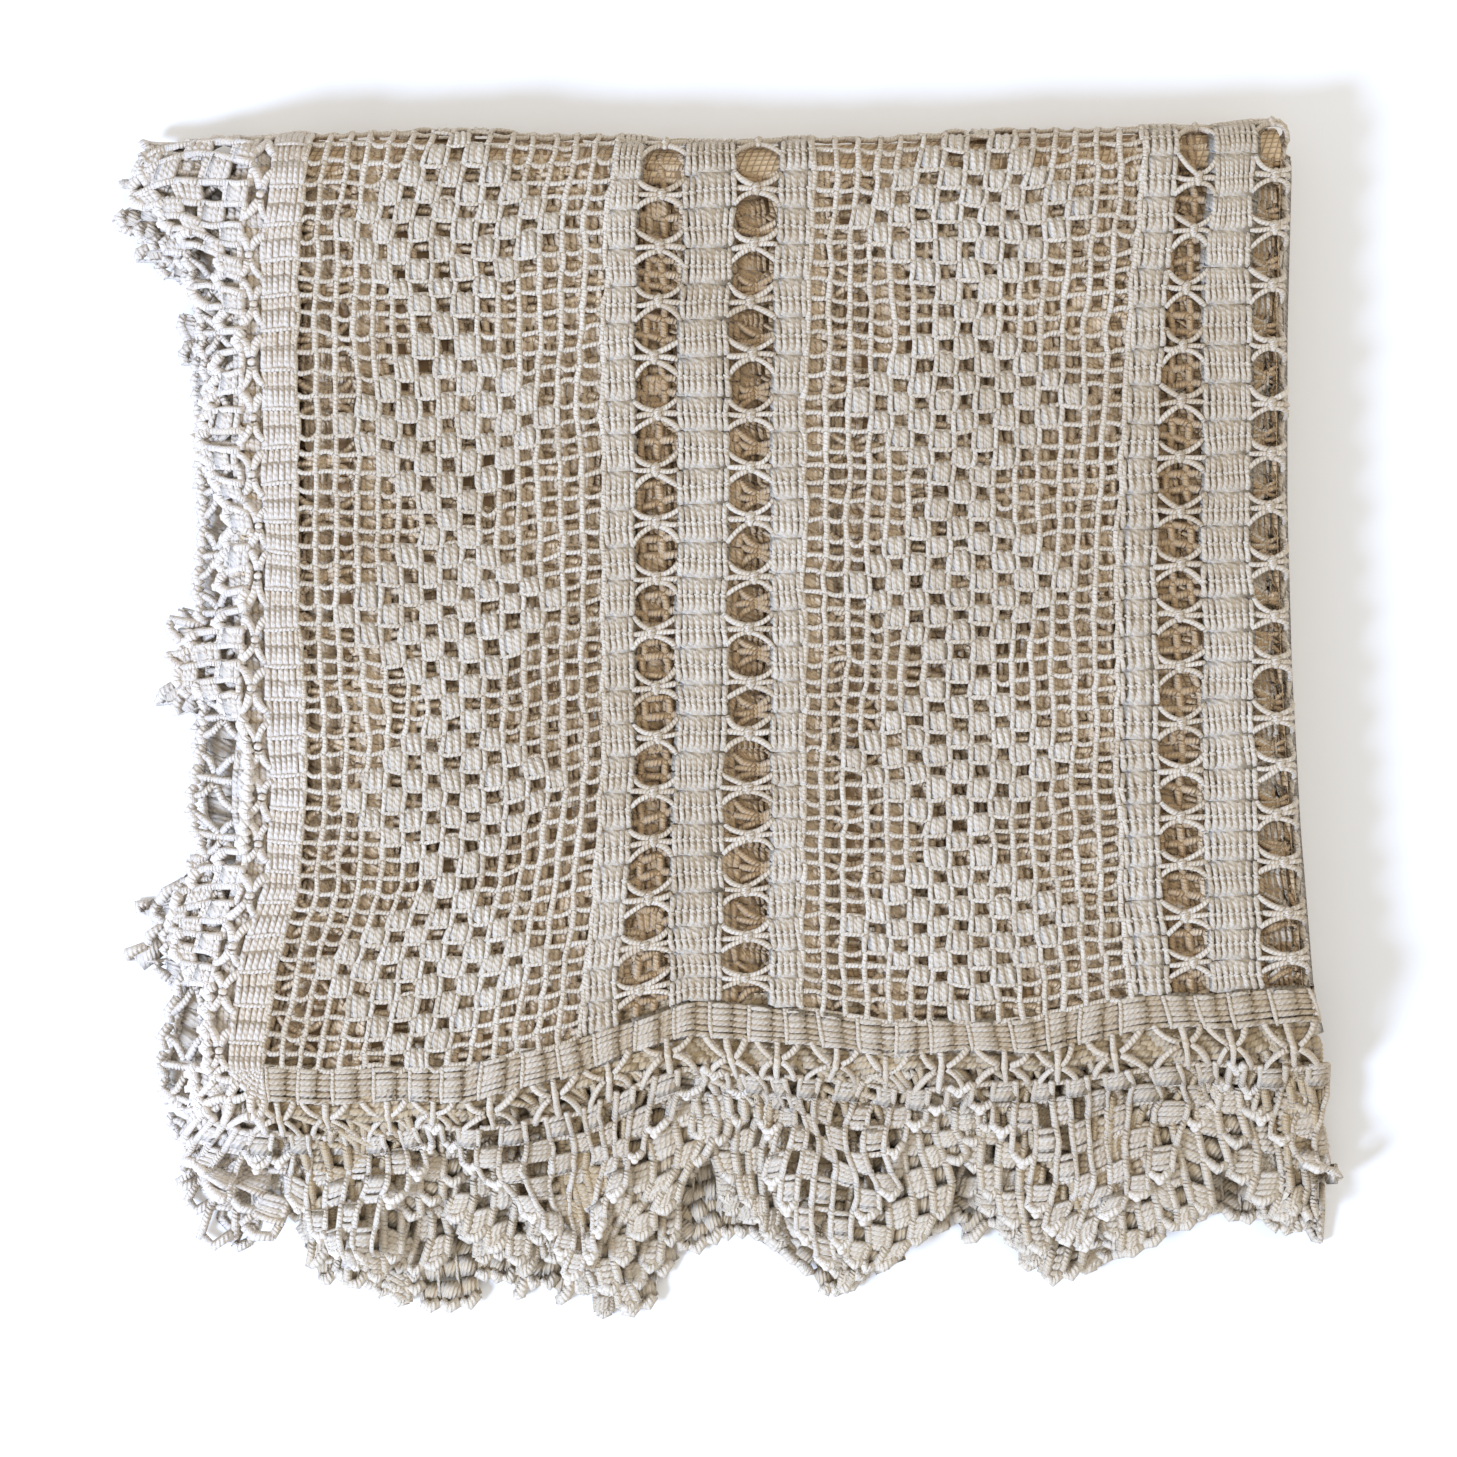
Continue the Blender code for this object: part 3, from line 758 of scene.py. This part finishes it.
def edging_row(yarn, place, near, far, number, cells, next_cells, detail):
    """One row of the edging between distances near and far along it."""
    lace_band(yarn, place, near, far, number, detail)
    if detail["solid"]:
        middle = 0.5 * (LACE_BAND + LACE_LADDER_END)
        yarn.plate(place, [near, middle], [far, middle], 0.0, middle - LACE_BAND, 0.0006, tone=OPEN_WORK_SHADE,
                   plied=5.0)
    elif number % KNOT_ROWS == 1:
        lace_ladder(yarn, place, near, far, detail)
    lace_points(yarn, place, near, far, number, cells, next_cells, detail)


def shown_depth(spot):
    """How far the edging shows past a place, out to the packet's outline: at the left, at the front."""
    x, y = spot[0] - PACKET_CORNER[0], spot[1] - PACKET_CORNER[1]
    wander = 0.0025 * ragged(x + y, 3.0 * spot[2]) - 0.004
    to_left = np.interp(y, np.array(LEFT_AT) * MM, np.array(LEFT_REACH) * MM) + x + wander
    to_front = np.interp(x, np.array(FRONT_AT) * MM, np.array(FRONT_REACH) * MM) + y + wander
    return to_left, to_front


SIDE_PLACE = {
    "top_end": lambda distance, depth: (distance, -depth),
    "under_end": lambda distance, depth: (distance, CLOTH_ALONG + depth),
    "left_side": lambda distance, depth: (-depth, distance),
    "right_side": lambda distance, depth: (CLOTH_ACROSS + depth, distance),
}


def edging(yarn, place, side, start, end, detail):
    """The rows of one side's edging between start and end along it. Gives back where its rim lies."""
    length = CLOTH_ACROSS if side in ("top_end", "under_end") else CLOTH_ALONG
    first = SIDE_FIRST_POINT[side]
    last = (SIDE_POINTS[side] - 1) * POINT_ROWS
    pitch = (length - 2.0 * first) / (SIDE_POINTS[side] - 1) / POINT_ROWS

    def place_side(distance, depth, lift):
        gathered = np.clip(depth - LACE_BAND, 0.0, LACE_LADDER_END - LACE_BAND)
        depth = depth - (1.0 - detail["ladder"]) * gathered
        return place(*SIDE_PLACE[side](distance, depth), lift)

    def natural_cells(number):
        """How many cells deep a row is: a point every fourteen rows, and less towards the corners."""
        outside = max(-number, number - last, 0)
        if outside:
            return round(POINT_CELLS - 5.0 * outside * pitch / first)
        away = number % POINT_ROWS
        return round(POINT_CELLS - min(away, POINT_ROWS - away) * 2.0 * POINT_CELLS / POINT_ROWS)

    low = math.ceil((start - first) / pitch) if start else math.floor(-first / pitch)
    high = math.floor((end - first) / pitch)
    cells, stretch, rim = [], [], []
    for number in range(low, high + 1):
        along = np.array([first + number * pitch])
        spot = place_side(along, np.array([LACE_LADDER_END]), np.zeros(1))[0]
        shown = shown_depth(spot)[0 if side in ("left_side", "right_side") else 1]
        wanted = natural_cells(number)
        if detail["solid"] or wanted * LACE_CELL * detail["stretch"] > shown:
            wanted = int(np.clip(round(shown / LACE_CELL), 0, MOST_CELLS))
            stretch.append(np.clip(shown / max(wanted * LACE_CELL, 0.001), 0.75, 1.25))
        else:
            stretch.append(detail["stretch"])
        cells.append(wanted)
        outer = np.array([LACE_LADDER_END + wanted * LACE_CELL * stretch[-1]])
        rim.append(place_side(along, outer, np.zeros(1))[0])
    starts = first + pitch * np.arange(low, high + 1)

    def place_shown(distance, depth, lift):
        past = np.maximum(depth - LACE_LADDER_END, 0.0)
        return place_side(distance, depth + past * (np.interp(distance, starts, stretch) - 1.0), lift)

    for number, row_cells, next_cells in zip(range(low, high), cells, cells[1:]):
        near, far = first + number * pitch, first + (number + 1) * pitch
        edging_row(yarn, place_shown, near, far, number, row_cells, next_cells, detail)
    return np.array(rim)


def edging_corner(yarn, place, corner, one, two, detail):
    """A fan of rows round a corner of the cloth, from one way out of it to the other."""
    rows = len(CORNER_CELLS)
    turn = 0.5 * math.pi / (rows * FAN_ROW)

    def place_fan(distance, depth, lift):
        angle = np.clip(distance * turn, -0.05, 0.5 * math.pi + 0.05)
        across = corner[0] + depth * (one[0] * np.cos(angle) + two[0] * np.sin(angle))
        along = corner[1] + depth * (one[1] * np.cos(angle) + two[1] * np.sin(angle))
        return place(across, along, lift)

    for number, (cells, next_cells) in enumerate(zip(CORNER_CELLS, (*CORNER_CELLS[1:], 0))):
        near, far = number * FAN_ROW, (number + 1) * FAN_ROW
        edging_row(yarn, place_fan, near, far, number, cells, next_cells, detail)


# ---------------------------------------------------------------- materials
class Surface:
    """A material made of nodes."""

    def __init__(self, name, **values):
        self.material = bpy.data.materials.new(name)
        self.material.use_nodes = True
        self.nodes = self.material.node_tree.nodes
        self.links = self.material.node_tree.links
        self.shader = self.nodes["Principled BSDF"]
        for key, value in values.items():
            self.shader.inputs[SHADER_INPUTS[key]].default_value = value

    def math(self, operation, first, second=None):
        """Adds a math node and gives back its output."""
        node = self.nodes.new("ShaderNodeMath")
        node.operation = operation
        for socket, value in zip(node.inputs, (first, second)):
            if isinstance(value, (int, float)):
                socket.default_value = value
            elif value is not None:
                self.links.new(value, socket)
        return node.outputs[0]

    def scaled(self, value, factor, offset):
        """A value times a factor, plus an offset, which may be another node's output."""
        return self.math("ADD", self.math("MULTIPLY", value, factor), offset)

    def wave(self, operation, value, length):
        """The sine or cosine of a value that repeats over a length."""
        return self.math(operation, self.math("MULTIPLY", value, 2.0 * math.pi / length))

    def uv(self, name):
        """Both coordinates of a UV map."""
        uv = self.nodes.new("ShaderNodeUVMap")
        uv.uv_map = name
        split = self.nodes.new("ShaderNodeSeparateXYZ")
        self.links.new(uv.outputs["UV"], split.inputs[0])
        return split.outputs["X"], split.outputs["Y"]

    def noise(self, scale, detail):
        """Noise in the object's own space."""
        coordinates = self.nodes.new("ShaderNodeTexCoord")
        noise = self.nodes.new("ShaderNodeTexNoise")
        noise.inputs["Scale"].default_value = scale
        noise.inputs["Detail"].default_value = detail
        self.links.new(coordinates.outputs["Object"], noise.inputs["Vector"])
        return noise.outputs["Fac"]

    def relief(self, height, distance):
        """Gives the surface the relief of a height."""
        bump = self.nodes.new("ShaderNodeBump")
        bump.inputs["Strength"].default_value = 1.0
        bump.inputs["Distance"].default_value = distance
        self.links.new(height, bump.inputs["Height"])
        self.links.new(bump.outputs["Normal"], self.shader.inputs["Normal"])

    def colour(self, level, *stops):
        """Colours the surface by a level, between stops of a position and a colour each."""
        ramp = self.nodes.new("ShaderNodeValToRGB")
        while len(ramp.color_ramp.elements) < len(stops):
            ramp.color_ramp.elements.new(0.5)
        for element, (position, colour) in zip(ramp.color_ramp.elements, stops):
            element.position = position
            element.color = (*colour, 1.0)
        self.links.new(level, ramp.inputs["Fac"])
        self.links.new(ramp.outputs["Color"], self.shader.inputs["Base Color"])


SHADER_INPUTS = {"colour": "Base Color", "roughness": "Roughness", "specular": "Specular IOR Level",
                 "sheen": "Sheen Weight", "sheen_roughness": "Sheen Roughness"}
BEAD = 0.27                  # length of a bead of the twist, in RUN_UNITs of yarn


def yarn_material(name, light, dark, full=0.38):
    """Mercerised cotton: two plies, fine fibres, and a tone that changes from stitch to stitch.

    The grooves between its plies and beads are painted darker as painted shade, and its tone attribute
    also carries painted shade and light.
    """
    look = Surface(name, roughness=0.72, sheen=0.2, sheen_roughness=0.5, specular=0.25)
    around, run = look.uv("yarn")
    ply = look.math("ABSOLUTE", look.wave("COSINE", around, 1.0))
    ply = look.scaled(look.math("POWER", ply, 0.7), 0.55, 0.45)
    slant = look.math("SUBTRACT", look.math("MULTIPLY", run, 1.0 / BEAD), around)
    bead = look.wave("COSINE", slant, 1.0)
    ply = look.math("MULTIPLY", ply, look.scaled(bead, 0.38, 0.62))
    fibre_run = look.scaled(around, 10.0, look.math("MULTIPLY", run, 16.0))
    fibre = look.wave("SINE", fibre_run, 1.0)
    height = look.scaled(fibre, 0.08, ply)
    look.relief(look.scaled(look.noise(1500.0, 3.0), 0.45, height), 0.0006)

    tone = look.nodes.new("ShaderNodeAttribute")
    tone.attribute_name = "tone"
    level = look.math("MULTIPLY", tone.outputs["Fac"], 0.05)
    level = look.scaled(look.noise(14.0, 4.0), 0.4, level)
    # Painted shade: the grooves of plies and beads, and a low tone, take the dark colour.
    look.colour(look.scaled(ply, 0.25, level), (0.0, dark), (full, light))
    return look.material


def inner_material(name, thread, hole_shade):
    """The cloth where only glimpses of it show: cells, blocks and bands as relief and tone.

    Its tan yarn and the dark of its holes are painted shade.
    """
    look = Surface(name, roughness=0.85)
    across, along = look.uv("flat")
    cell_u, cell_v = look.math("DIVIDE", across, CELL), look.math("DIVIDE", along, ROW)
    post = look.math("LESS_THAN", look.math("FRACT", cell_u), 0.30)
    bar = look.math("LESS_THAN", look.math("FRACT", cell_v), 0.28)
    number = look.nodes.new("ShaderNodeCombineXYZ")
    look.links.new(look.math("FLOOR", cell_u), number.inputs[0])
    look.links.new(look.math("FLOOR", cell_v), number.inputs[1])
    chance = look.nodes.new("ShaderNodeTexWhiteNoise")
    chance.noise_dimensions = "2D"
    look.links.new(number.outputs[0], chance.inputs["Vector"])
    block = look.math("LESS_THAN", chance.outputs["Value"], 0.35)
    repeat = look.math("FRACT", look.math("DIVIDE", across, REPEAT))
    band = look.math("GREATER_THAN", repeat, PANEL / REPEAT)
    solid = post
    for part in (bar, block, band):
        solid = look.math("MAXIMUM", solid, part)
    lean = look.math("ADD", across, look.math("MULTIPLY", along, 0.35))
    stripe = look.math("ABSOLUTE", look.wave("SINE", lean, 0.006))
    grain = look.math("ABSOLUTE", look.wave("SINE", along, 0.0052))
    stripe, grain = look.math("POWER", stripe, 0.5), look.math("POWER", grain, 0.4)
    texture = look.math("MULTIPLY", stripe, grain)
    relief = look.math("MULTIPLY", solid, look.math("ADD", texture, 0.4))
    look.relief(relief, 0.0010)
    middle = tuple(0.5 * (a + b) for a, b in zip(thread, hole_shade))
    look.colour(relief, (0.0, hole_shade), (0.65, middle), (1.0, thread))
    return look.material


cream = yarn_material("cotton_cream", (0.85, 0.74, 0.59), (0.49, 0.355, 0.20), 0.54)
# A darker, tanner copy of the cream for the layers below: painted shade
cream_low_shaded = yarn_material("cotton_cream_painted_shade", (0.82, 0.63, 0.41), (0.52, 0.34, 0.17))
cream_edging = yarn_material("cotton_edging", (0.80, 0.695, 0.555), (0.55, 0.405, 0.235), 0.56)
# A darker copy of the edging's cotton for the edgings below: painted shade
cream_shaded = yarn_material("cotton_edging_painted_shade", (0.76, 0.645, 0.49), (0.56, 0.41, 0.23), 0.48)
# A paler copy of the edging's cotton for the left edging: painted light
cream_lit_left = yarn_material("cotton_edging_painted_light", (0.795, 0.69, 0.565), (0.72, 0.575, 0.40), 0.38)
# The inner sheet's tan yarn and dark holes: painted shade
inside = inner_material("cotton_inside_painted_shade", (0.68, 0.48, 0.27), (0.32, 0.20, 0.10))


# ---------------------------------------------------------------- hidden layers: one thin folded sheet
def fold_line(starts, pitch, turn_parts, leg_parts=19):
    """Distances along the folded line: evenly over each leg, and over each turn."""
    distances = []
    for leg in range(4):
        turn = math.pi * TURN_RADIUS[leg] * pitch if leg < 3 else 0.0
        end = starts[leg + 1] - turn
        distances += list(np.linspace(starts[leg], end, leg_parts)[:-1])
        if leg < 3:
            distances += list(np.linspace(end, starts[leg + 1], turn_parts)[:-1])
    return np.array(distances + [starts[-1]])


def hidden_sheet():
    """The cloth's inner layers as a plain folded sheet, left open where the stitches are worked."""
    cross_starts = leg_starts(CROSS_STOPS, LAYER_PITCH)
    length_starts = leg_starts(LENGTH_STOPS, PACK_PITCH)
    columns = fold_line(cross_starts, LAYER_PITCH, 6)
    rows = fold_line(length_starts, PACK_PITCH, 8)
    grid_u, grid_v = np.meshgrid(columns, rows, indexing="ij")
    points = lay(grid_u, grid_v, np.zeros_like(grid_u)).reshape(-1, 3)
    faces, uvs = [], []
    stride = len(rows)
    for i in range(len(columns) - 1):
        middle_u = 0.5 * (columns[i] + columns[i + 1])
        first_leg = middle_u < cross_starts[1]
        last_leg = middle_u > cross_starts[3] - 0.001
        for j in range(stride - 1):
            middle_v = 0.5 * (rows[j] + rows[j + 1])
            if first_leg and middle_v < length_starts[1] or last_leg and middle_v < LENGTH_STOPS[1]:
                continue
            corners = ((i, j), (i + 1, j), (i + 1, j + 1), (i, j + 1))
            faces.append([a * stride + b for a, b in corners])
            uvs += [(columns[a], rows[b]) for a, b in corners]
    mesh = bpy.data.meshes.new("inner_folds")
    mesh.from_pydata(points.tolist(), [], faces)
    layer = mesh.uv_layers.new(name="flat")
    layer.data.foreach_set("uv", np.array(uvs, dtype=np.float32).ravel())
    return make_piece(mesh, inside)


# ---------------------------------------------------------------- making everything
TOP_ROWS = 55                # the worked rows of the top layer, down to behind the far fold
THIRD_ROWS = 18              # those of each of its near and middle pieces
LOWER_ROWS = 49
TOP_ACROSS = 0.456           # the worked layer ends here, under the right fold
EDGING_ACROSS = 0.458        # and its edging here
TURNED = 0.430               # the worked edging on the left ends here, behind the far fold
QUARTER = CLOTH_ACROSS / 4.0
RIGHT_FOLDS = ((0.430, 0.455, TOP_ROWS + 1), (1.320, 1.350, 0))      # from, to, and first row
LAST_ROW = 200

top = [Yarn("filet_near"), Yarn("filet_middle"), Yarn("filet_far")]
body(lambda row: top[min(row // THIRD_ROWS, 2)], lay_top, 0.0, TOP_ACROSS, (0, TOP_ROWS), FULL)
below = Yarn("filet_below")
body(lambda row: below, lay_lower, CLOTH_ACROSS - CROSS_STOPS[1], CLOTH_ACROSS, (0, LOWER_ROWS), PLAIN)
third = Yarn("filet_third")
body(lambda row: third, lay_lower, 2 * QUARTER, 3 * QUARTER, (0, LOWER_ROWS), THREADS)
# Painted shade on the layers below, under the top layer's ladders
below.shade = third.shade = under_ladders

front = Yarn("edging_front")
front_rim = edging(front, lay_top, "top_end", 0.0, EDGING_ACROSS, dict(FULL_LACE, stretch=0.95))
front.shade = painted_light_at_rim
left = Yarn("edging_left")
left_rim = edging(left, lay_top, "left_side", 0.0, TURNED, LEFT_LACE)
edging_corner(left, lay_top, (0, 0), (0, -1), (-1, 0), LEFT_LACE)

second_front = Yarn("edging_front_second")
edging(second_front, lay_lower, "top_end", EDGING_ACROSS, 3 * QUARTER, PLAIN)
edging(second_front, lay_face_down, "top_end", 3 * QUARTER, CLOTH_ACROSS, dict(PLAIN, fill=-0.0022))
edging(second_front, lay_lower, "under_end", QUARTER, 3 * QUARTER, PLAIN)
second_left = Yarn("edging_left_second")
edging(second_left, lay_face_down, "right_side", 0.0, TURNED, dict(PLAIN, fill=-0.0018))
edging(second_left, lay_lower, "left_side", TURNED, CLOTH_ALONG, STICKS)
edging(second_left, lay_lower, "right_side", TURNED, CLOTH_ALONG, STICKS)
for corner, one, two in (((CLOTH_ACROSS, 0), (0, -1), (1, 0)), ((0, CLOTH_ALONG), (0, 1), (-1, 0)),
                         ((CLOTH_ACROSS, CLOTH_ALONG), (0, 1), (1, 0))):
    edging_corner(second_left, lay_lower, corner, one, two, PLAIN)
deep = Yarn("edging_deep")
edging(deep, lay_lower, "under_end", 0.0, QUARTER, PLAIN)
edging(deep, lay_lower, "under_end", 3 * QUARTER, CLOTH_ACROSS, STICKS)
# Painted shade on the lower edgings, under the top layer's edging
second_front.shade = deep.shade = under_rim(front_rim, 1, -6.0)
second_left.shade = under_rim(left_rim, 0, -2.5)

folds = Yarn("filet_folds")
for start, end, first_row in RIGHT_FOLDS:
    body(lambda row: folds, lay, start, end, (first_row, LAST_ROW), THREADS)

pieces = {}
for material, yarns in ((cream, top), (cream_low_shaded, (below, third)), (cream, (folds,)),
                        (cream_edging, (front,)), (cream_shaded, (second_front,)),
                        (cream_lit_left, (left, second_left)), (cream_shaded, (deep,))):
    for yarn in yarns:
        pieces[yarn.name] = yarn.build(material)
pieces["inner_folds"] = hidden_sheet()

for name, piece in pieces.items():
    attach(piece, "root")
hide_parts("bedspread_cloth")
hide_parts("lace_edging")

# ---------------------------------------------------------------- floor, camera, light
scene = bpy.context.scene
HALF_FLOOR = 3.0
VIEW_CENTRE = (0.0026, 0.0059)
VIEW_WIDTH = 0.6556          # what the view takes in at the packet's top
VIEW_LEVEL = 0.04
CAMERA_HEIGHT = 1.6
SENSOR = 36.0


def plain_floor():
    """The white ground under the bedspread."""
    mesh = bpy.data.meshes.new("floor")
    half = HALF_FLOOR
    mesh.from_pydata([(-half, -half, 0), (half, -half, 0), (half, half, 0), (-half, half, 0)], [],
                     [(0, 1, 2, 3)])
    floor_white = Surface("floor_white", colour=(1.0, 0.97, 0.92, 1.0), roughness=0.9, specular=0.1)
    mesh.materials.append(floor_white.material)
    floor = bpy.data.objects.new("floor", mesh)
    scene.collection.objects.link(floor)


def area_light(name, place, size, power, colour):
    """A round lamp that looks at the middle of the frame."""
    data = bpy.data.lights.new(name, "AREA")
    data.shape = "DISK"
    data.size = size
    data.energy = power
    data.color = colour
    light = bpy.data.objects.new(name, data)
    light.location = place
    light.rotation_euler = Vector(-np.array(place)).to_track_quat("-Z", "Y").to_euler()
    scene.collection.objects.link(light)


plain_floor()
camera_data = bpy.data.cameras.new("camera")
camera_data.sensor_width = SENSOR
camera_data.lens = SENSOR * (CAMERA_HEIGHT - VIEW_LEVEL) / VIEW_WIDTH
camera = bpy.data.objects.new("camera", camera_data)
camera.location = (*VIEW_CENTRE, CAMERA_HEIGHT)
scene.collection.objects.link(camera)
scene.camera = camera

area_light("key", (-1.7, -1.0, 1.5), 0.7, 58.0, (0.73, 0.95, 1.44))
area_light("fill", (1.2, 1.0, 2.0), 1.6, 12.0, (1.0, 0.97, 0.93))
world = bpy.data.worlds.new("world")
world.use_nodes = True
background = world.node_tree.nodes["Background"]
background.inputs["Color"].default_value = (0.96, 0.99, 1.04, 1.0)
background.inputs["Strength"].default_value = 0.68
scene.world = world
scene.view_settings.view_transform = "Standard"
